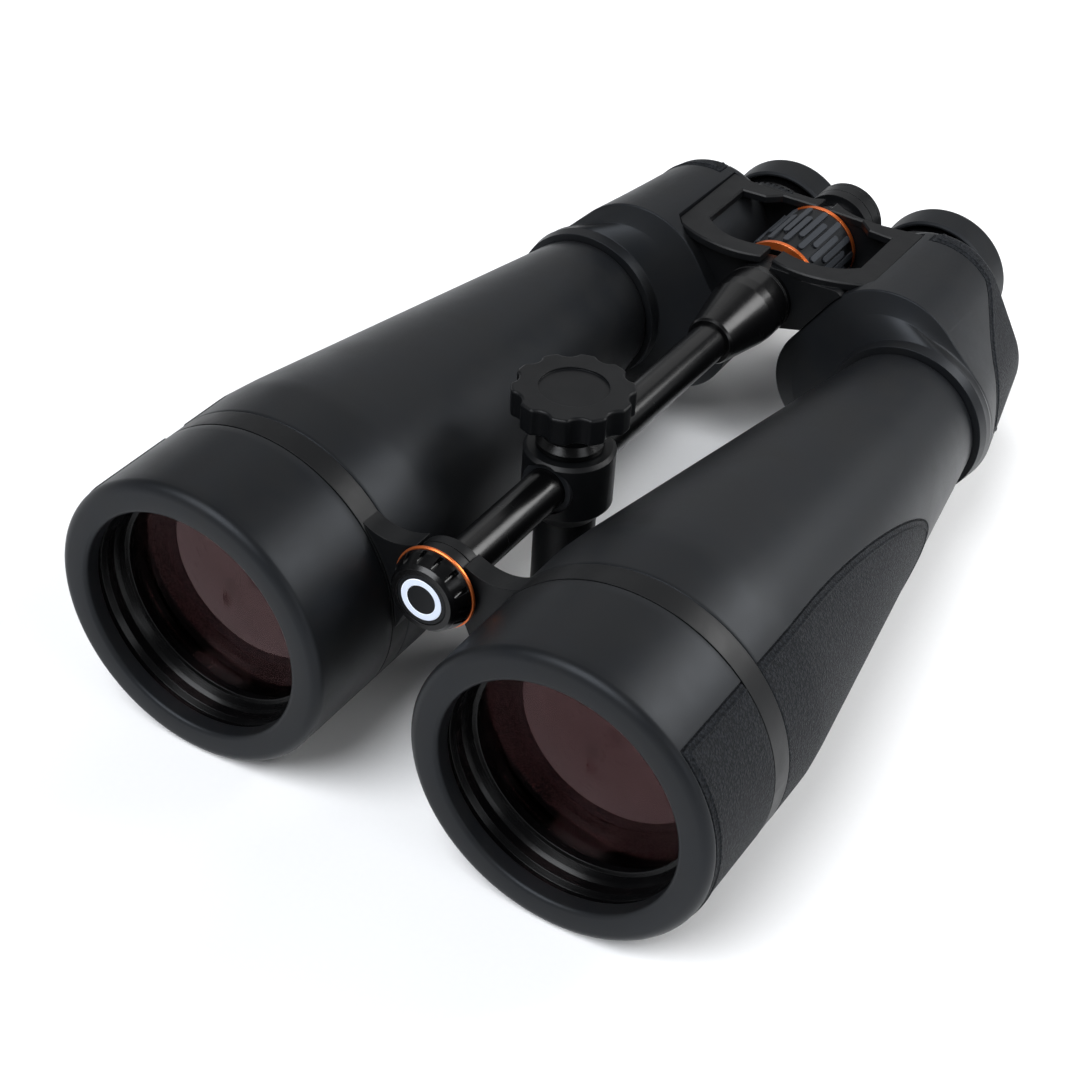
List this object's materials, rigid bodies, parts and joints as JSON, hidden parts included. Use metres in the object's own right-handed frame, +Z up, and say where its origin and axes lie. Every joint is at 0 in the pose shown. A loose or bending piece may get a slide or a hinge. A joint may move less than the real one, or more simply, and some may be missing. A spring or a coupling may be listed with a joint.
{
  "type": "astronomy binoculars",
  "caption": "Large porro-prism astronomy binoculars with a centre rod, sliding tripod post, central focusing wheel, dioptre ring and twist-up eyecups.",
  "frame": {"origin": "centre of the bounding box's underside, on the ground under the barrels", "axes": "+Y back along the barrels, from the objectives to the eyepieces; +X towards the half that is left for the person looking through; +Z up"},
  "size_m": [0.2382, 0.3558, 0.1064],
  "materials": {
    "armour_rubber": "smooth soft-touch rubber armour, near black",
    "soft_rubber": "moulded soft rubber, near black",
    "armour_casting": "alloy casting under bonded soft-touch armour",
    "satin_casting": "satin black painted alloy",
    "black_anodised": "glossy black anodised alloy",
    "orange_anodised": "orange anodised alloy",
    "grey_disc": "plain satin disc",
    "inner_black": "matt black anodised, inside of the tubes",
    "bare_metal": "turned steel",
    "insert_metal": "brass threaded insert",
    "black_screw": "blackened screws",
    "coated_glass": "glass with a dark red anti-reflection coating",
    "plain_glass": "clear optical glass",
    "ribbed_plastic": "matt black plastic",
    "moulded_plastic": "black moulded plastic"
  },
  "bodies": {
    "core": {"rod": "black_anodised", "cone_sleeve": "black_anodised"},
    "left_half": {"left_front_sleeve": "armour_rubber", "left_barrel_tube": "inner_black", "left_retaining_ring": "inner_black", "left_crown_lens": "coated_glass", "left_flint_lens": "plain_glass", "left_front_bridge": "satin_casting", "left_barrel_armour": "armour_rubber", "left_housing_boot": "armour_casting", "left_prism_housing": "armour_casting", "left_rear_cover": "armour_casting", "left_cover_screws": "black_screw", "left_prism_shelf": "inner_black", "left_entry_prism": "plain_glass", "left_exit_prism": "plain_glass", "left_hinge_frame": "satin_casting"},
    "right_half": {"right_front_sleeve": "armour_rubber", "right_barrel_tube": "inner_black", "right_retaining_ring": "inner_black", "right_crown_lens": "coated_glass", "right_flint_lens": "plain_glass", "right_front_bridge": "satin_casting", "right_barrel_armour": "armour_rubber", "right_housing_boot": "armour_casting", "right_prism_housing": "armour_casting", "right_rear_cover": "armour_casting", "right_cover_screws": "black_screw", "right_prism_shelf": "inner_black", "right_entry_prism": "plain_glass", "right_exit_prism": "plain_glass", "right_hinge_frame": "satin_casting"},
    "focus_wheel_body": {"focus_wheel": "black_anodised", "wheel_grip": "soft_rubber", "wheel_rings": "orange_anodised"},
    "focus_carriage": {"focus_screw": "bare_metal", "bridge_hub": "satin_casting"},
    "left_arm": {"left_eyepiece_arm": "satin_casting", "left_eyepiece_tube": "satin_casting", "left_field_lens": "plain_glass", "left_eye_lens": "coated_glass"},
    "right_arm": {"right_eyepiece_arm": "satin_casting"},
    "right_eyepiece": {"right_eyepiece_tube": "satin_casting", "right_field_lens": "plain_glass", "right_eye_lens": "coated_glass"},
    "diopter": {"diopter_ring": "ribbed_plastic"},
    "left_cup_sleeve": {"left_eyecup_sleeve": "inner_black"},
    "left_cup": {"left_eyecup": "soft_rubber"},
    "right_cup_sleeve": {"right_eyecup_sleeve": "inner_black"},
    "right_cup": {"right_eyecup": "soft_rubber"},
    "lock_thrust": {"lock_washer": "bare_metal"},
    "lock_knob_body": {"lock_knob": "black_anodised", "lock_knob_ring": "orange_anodised", "lock_knob_badge": "grey_disc"},
    "post_carrier": {"post_bush": "ribbed_plastic"},
    "post_body": {"post": "satin_casting", "tripod_insert": "insert_metal"},
    "clamp_pad": {"clamp_shoe": "ribbed_plastic"},
    "clamp_handle": {"clamp_stem": "black_anodised", "clamp_knob": "moulded_plastic"}
  },
  "joints": [
    {"name": "left_fold", "type": "hinge", "parent": "core", "child": "left_half", "pos_m": [0, 0, 0.0743], "axis": [0, 1, 0], "range_deg": [-4, 13.9]},
    {"name": "right_fold", "type": "hinge", "parent": "core", "child": "right_half", "pos_m": [0, 0, 0.0743], "axis": [0, 1, 0], "range_deg": [-13.9, 4]},
    {"name": "focus_turn", "type": "hinge", "parent": "core", "child": "focus_wheel_body", "pos_m": [0, 0, 0.0743], "axis": [0, 1, 0], "range_deg": [-270, 270]},
    {"name": "focus_slide", "type": "slide", "parent": "core", "child": "focus_carriage", "axis": [0, 1, 0], "range_m": [-0.005, 0.005]},
    {"name": "left_arm_fold", "type": "hinge", "parent": "focus_carriage", "child": "left_arm", "pos_m": [0, 0, 0.0743], "axis": [0, 1, 0], "range_deg": [-4, 13.9]},
    {"name": "right_arm_fold", "type": "hinge", "parent": "focus_carriage", "child": "right_arm", "pos_m": [0, 0, 0.0743], "axis": [0, 1, 0], "range_deg": [-13.9, 4]},
    {"name": "diopter_turn", "type": "hinge", "parent": "right_arm", "child": "diopter", "pos_m": [-0.0345, 0, 0.0514], "axis": [0, 1, 0], "range_deg": [-60, 60]},
    {"name": "diopter_slide", "type": "slide", "parent": "right_arm", "child": "right_eyepiece", "axis": [0, 1, 0], "range_m": [-0.0015, 0.0015]},
    {"name": "left_cup_turn", "type": "hinge", "parent": "left_arm", "child": "left_cup_sleeve", "pos_m": [0.0345, 0, 0.0514], "axis": [0, 1, 0], "range_deg": [-120, 0]},
    {"name": "left_cup_slide", "type": "slide", "parent": "left_cup_sleeve", "child": "left_cup", "axis": [0, 1, 0], "range_m": [-0.008, 0]},
    {"name": "right_cup_turn", "type": "hinge", "parent": "right_eyepiece", "child": "right_cup_sleeve", "pos_m": [-0.0345, 0, 0.0514], "axis": [0, 1, 0], "range_deg": [-120, 0]},
    {"name": "right_cup_slide", "type": "slide", "parent": "right_cup_sleeve", "child": "right_cup", "axis": [0, 1, 0], "range_m": [-0.008, 0]},
    {"name": "lock_thrust_slide", "type": "slide", "parent": "core", "child": "lock_thrust", "axis": [0, -1, 0], "range_m": [0, 0.00075]},
    {"name": "lock_knob_turn", "type": "hinge", "parent": "lock_thrust", "child": "lock_knob_body", "pos_m": [0, 0, 0.0743], "axis": [0, -1, 0], "range_deg": [0, 270]},
    {"name": "post_slide", "type": "slide", "parent": "core", "child": "post_carrier", "axis": [0, 1, 0], "range_m": [-0.008, 0.08]},
    {"name": "post_swing", "type": "hinge", "parent": "post_carrier", "child": "post_body", "pos_m": [0, 0, 0.0743], "axis": [0, 1, 0], "range_deg": [-4, 4]},
    {"name": "clamp_pad_lift", "type": "slide", "parent": "post_body", "child": "clamp_pad", "axis": [0, 0, 1], "range_m": [0, 0.0012]},
    {"name": "clamp_turn", "type": "hinge", "parent": "clamp_pad", "child": "clamp_handle", "pos_m": [0, -0.0613, 0.1014], "axis": [0, 0, 1], "range_deg": [0, 360]}
  ],
  "couplings": [
    {"joint": "right_fold", "follows": "left_fold", "ratio": -1},
    {"joint": "left_arm_fold", "follows": "left_fold", "ratio": 1},
    {"joint": "right_arm_fold", "follows": "left_fold", "ratio": -1},
    {"joint": "focus_turn", "follows": "focus_slide", "rad_per_m": 942},
    {"joint": "diopter_turn", "follows": "diopter_slide", "rad_per_m": 698},
    {"joint": "left_cup_slide", "follows": "left_cup_turn", "m_per_rad": 0.0038},
    {"joint": "right_cup_slide", "follows": "right_cup_turn", "m_per_rad": 0.0038},
    {"joint": "lock_thrust_slide", "follows": "lock_knob_turn", "m_per_rad": 0.000159},
    {"joint": "clamp_pad_lift", "follows": "clamp_turn", "m_per_rad": 0.00019}
  ]
}
